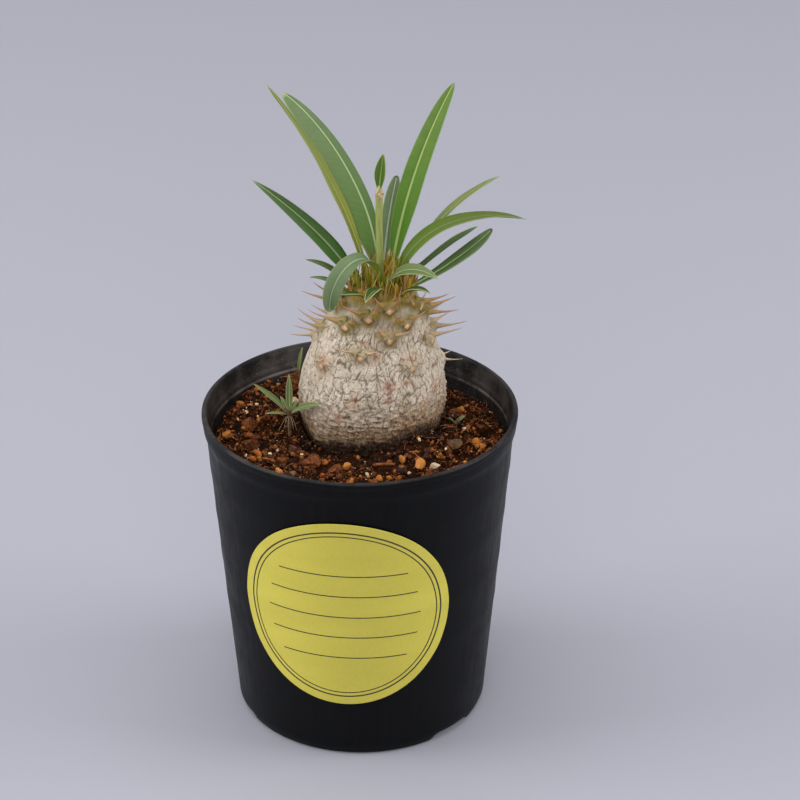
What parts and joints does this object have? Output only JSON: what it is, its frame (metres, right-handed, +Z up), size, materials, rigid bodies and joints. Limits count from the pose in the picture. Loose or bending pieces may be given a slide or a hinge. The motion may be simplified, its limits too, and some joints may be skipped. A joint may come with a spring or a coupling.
{
  "type": "potted caudex plant",
  "caption": "Young caudex plant with a swollen spiny stem and a crown of narrow leaves, growing in a round tapered nursery pot with a blank sticker.",
  "frame": {"origin": "centre of the pot's foot, on the surface that it stands on", "axes": "+Z up along the pot, -Y towards the side with the label, +X to the right of it"},
  "size_m": [0.0907, 0.09, 0.185],
  "materials": {
    "black_plastic": "satin",
    "sticker": "satin",
    "soil_mix": "matte",
    "bark": "matte",
    "leaf_green": "satin",
    "stalk_green": "satin",
    "shoot_green": "satin"
  },
  "bodies": {
    "root": {"pot": "black_plastic", "label": "sticker", "soil": "soil_mix", "caudex": "bark", "flower_stalk": "stalk_green", "leaf_01": "leaf_green", "leaf_02": "leaf_green", "leaf_03": "leaf_green", "leaf_04": "leaf_green", "leaf_05": "leaf_green", "leaf_06": "leaf_green", "leaf_07": "leaf_green", "leaf_08": "leaf_green", "leaf_09": "leaf_green", "leaf_10": "leaf_green", "leaf_11": "leaf_green", "leaf_12": "leaf_green", "leaf_13": "leaf_green", "leaf_14": "leaf_green", "leaf_15": "leaf_green", "leaf_16": "leaf_green", "side_shoot_left": "shoot_green", "side_shoot_back": "shoot_green", "seedling_right": "shoot_green"}
  },
  "joints": []
}
